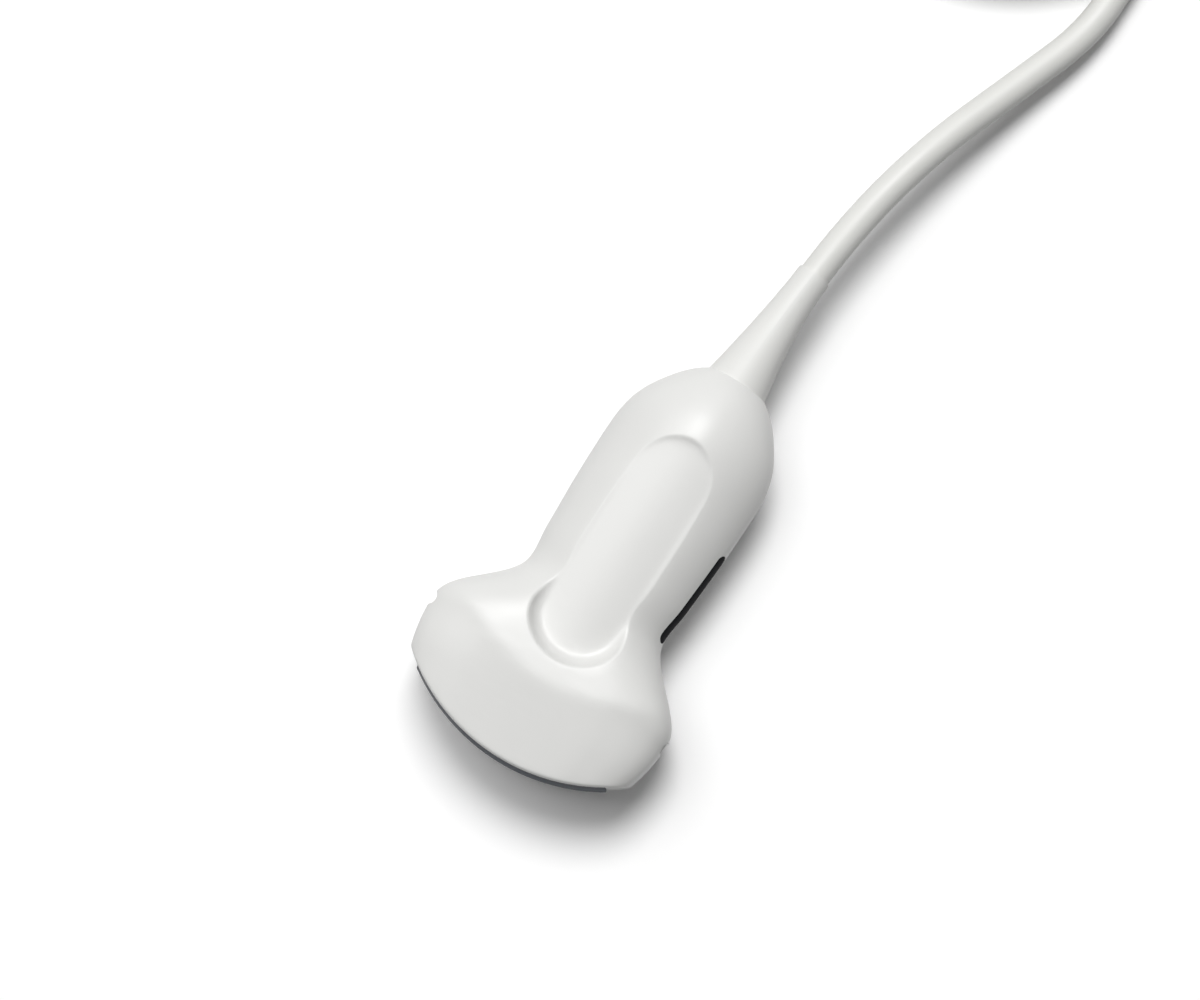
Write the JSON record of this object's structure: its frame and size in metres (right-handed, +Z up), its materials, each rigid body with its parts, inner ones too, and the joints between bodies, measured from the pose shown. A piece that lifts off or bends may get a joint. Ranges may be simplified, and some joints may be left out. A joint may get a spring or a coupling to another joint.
{
  "type": "ultrasound transducer probe",
  "caption": "White curved-array ultrasound probe with a dark lens, thumb recesses, orientation marker, strain relief, tied cable coil and turn-lock system connector.",
  "frame": {"origin": "under the middle of the hand piece, on the surface that it lies on", "axes": "+Y along the hand piece from the lens to the cable, +Z up out of the front face, +X towards the orientation marker"},
  "size_m": [0.139, 0.4738, 0.036],
  "materials": {
    "housing_white": "fine satin moulded plastic",
    "lens_grey": "smooth silicone",
    "marker_black": "satin inlay",
    "relief_white": "soft moulded elastomer",
    "cable_white": "smooth extruded jacket",
    "matching_resin": "filled resin",
    "element_ceramic": "diced ceramic",
    "flex_amber": "polyimide film",
    "backing_dark": "loaded elastomer",
    "carrier_metal": "milled",
    "board_green": "solder mask",
    "socket_beige": "moulded",
    "screw_steel": "plated",
    "coax_grey": "bundled wires",
    "seal_black": "moulded ring",
    "tie_grey": "woven hook and loop tape",
    "connector_white": "fine texture",
    "shroud_metal": "bead blasted",
    "contact_black": "glass filled",
    "contact_gold": "plated",
    "knob_grey": "fine texture"
  },
  "bodies": {
    "probe": {"front_shell": "housing_white", "rear_shell": "housing_white", "orientation_marker": "marker_black", "acoustic_lens": "lens_grey", "outer_matching_layer": "matching_resin", "inner_matching_layer": "matching_resin", "piezo_array": "element_ceramic", "array_flex": "flex_amber", "backing_block": "backing_dark", "array_carrier": "carrier_metal", "interconnect_board": "board_green", "flex_sockets": "socket_beige", "frame_screws": "screw_steel", "coax_fan": "coax_grey", "cable_clamp": "carrier_metal", "tail_seal": "seal_black", "strain_relief": "relief_white", "cable_lead": "cable_white", "cable_coil": "cable_white", "cable_tail": "cable_white", "coil_tie": "tie_grey", "connector_lower_cover": "connector_white", "connector_upper_cover": "connector_white", "connector_shroud": "shroud_metal", "contact_block": "contact_black", "contact_pads": "contact_gold", "connector_board": "board_green", "shaft_bush": "carrier_metal", "connector_boot": "relief_white", "cover_screws": "screw_steel"},
    "lock": {"lock_shaft": "screw_steel", "lock_knob": "knob_grey"}
  },
  "joints": [
    {"name": "lock_turn", "type": "hinge", "parent": "probe", "child": "lock", "pos_m": [-0.006, 0.342, 0.018], "axis": [0, 1, 0], "range_deg": [0, 90]}
  ]
}
